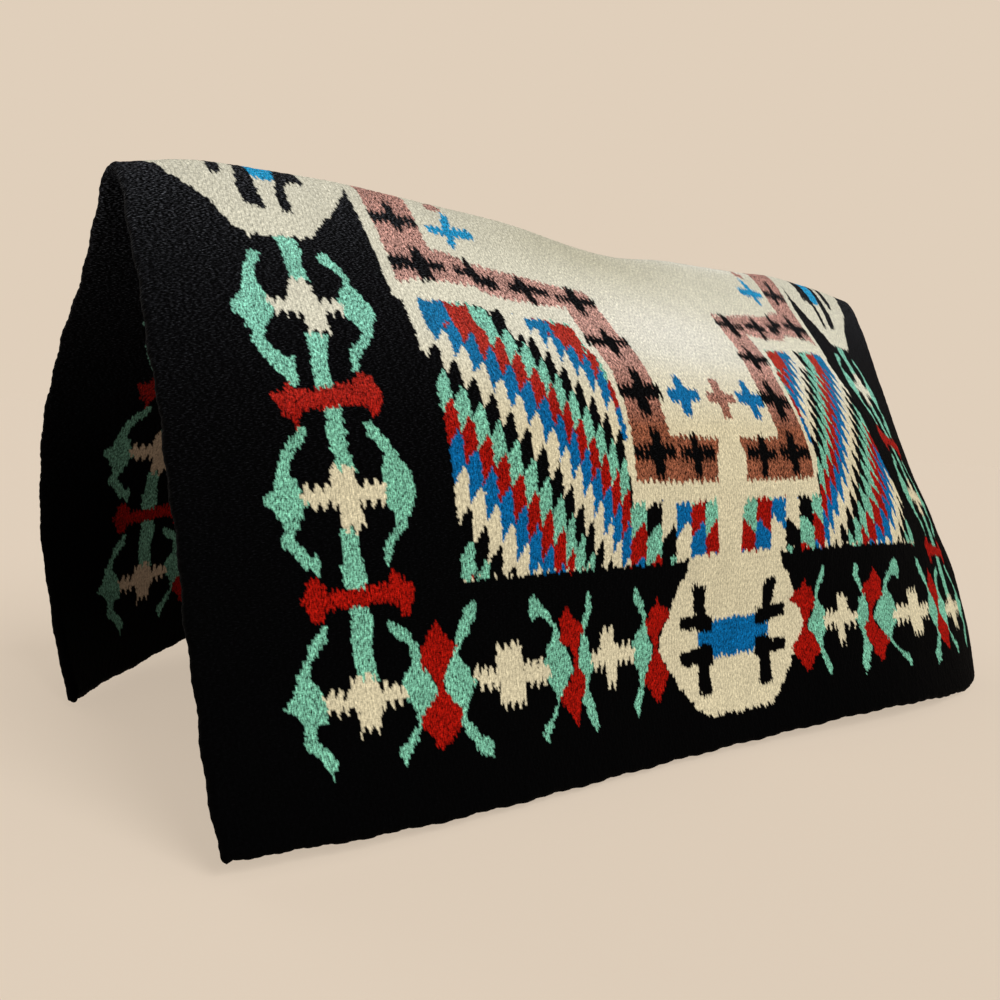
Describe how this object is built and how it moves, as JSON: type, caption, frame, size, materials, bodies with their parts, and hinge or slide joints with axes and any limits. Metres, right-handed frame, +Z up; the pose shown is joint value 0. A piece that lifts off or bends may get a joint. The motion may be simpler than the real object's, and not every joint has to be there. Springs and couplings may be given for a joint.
{
  "type": "woven saddle blanket",
  "caption": "Thick hand-woven wool saddle blanket with a stepped geometric pattern, folded over its spine line so that a flap hangs down each side.",
  "frame": {"origin": "centre of the box at the floor, midway between the two bottom edges", "axes": "+X along the ridge from the front end to the rear end, +Z up, -Y towards the near flap"},
  "size_m": [0.864, 0.4998, 0.3773],
  "materials": {
    "black_weft": "matt brushed wool",
    "cream_weft": "matt brushed wool",
    "stripe_weft": "matt brushed wool in lozenge stripes",
    "rose_weft": "matt brushed wool",
    "edge_cord": "plied wool cord"
  },
  "bodies": {
    "ridge": {"ridge_centre_field": "cream_weft", "ridge_front_border": "black_weft", "ridge_front_end_cord": "edge_cord", "ridge_rear_border": "black_weft", "ridge_rear_end_cord": "edge_cord"},
    "near_flap": {"near_bottom_border_front": "black_weft", "near_bottom_border_rear": "black_weft", "near_bottom_medallion": "cream_weft", "near_bottom_selvage": "edge_cord", "near_centre_field": "cream_weft", "near_frame_foot": "rose_weft", "near_front_border": "black_weft", "near_front_end_cord": "edge_cord", "near_front_frame_leg": "rose_weft", "near_front_stripes": "stripe_weft", "near_rear_border": "black_weft", "near_rear_end_cord": "edge_cord", "near_rear_frame_leg": "rose_weft", "near_rear_stripes": "stripe_weft"},
    "far_flap": {"far_bottom_border_front": "black_weft", "far_bottom_border_rear": "black_weft", "far_bottom_medallion": "cream_weft", "far_bottom_selvage": "edge_cord", "far_centre_field": "cream_weft", "far_frame_foot": "rose_weft", "far_front_border": "black_weft", "far_front_end_cord": "edge_cord", "far_front_frame_leg": "rose_weft", "far_front_stripes": "stripe_weft", "far_rear_border": "black_weft", "far_rear_end_cord": "edge_cord", "far_rear_frame_leg": "rose_weft", "far_rear_stripes": "stripe_weft"}
  },
  "joints": [
    {"name": "near_flap_swing", "type": "hinge", "parent": "ridge", "child": "near_flap", "pos_m": [0, -0.01982, 0.36041], "axis": [-1, 0, 0], "range_deg": [-20, 55]},
    {"name": "far_flap_swing", "type": "hinge", "parent": "ridge", "child": "far_flap", "pos_m": [0, 0.01982, 0.36041], "axis": [1, 0, 0], "range_deg": [-20, 55]}
  ]
}
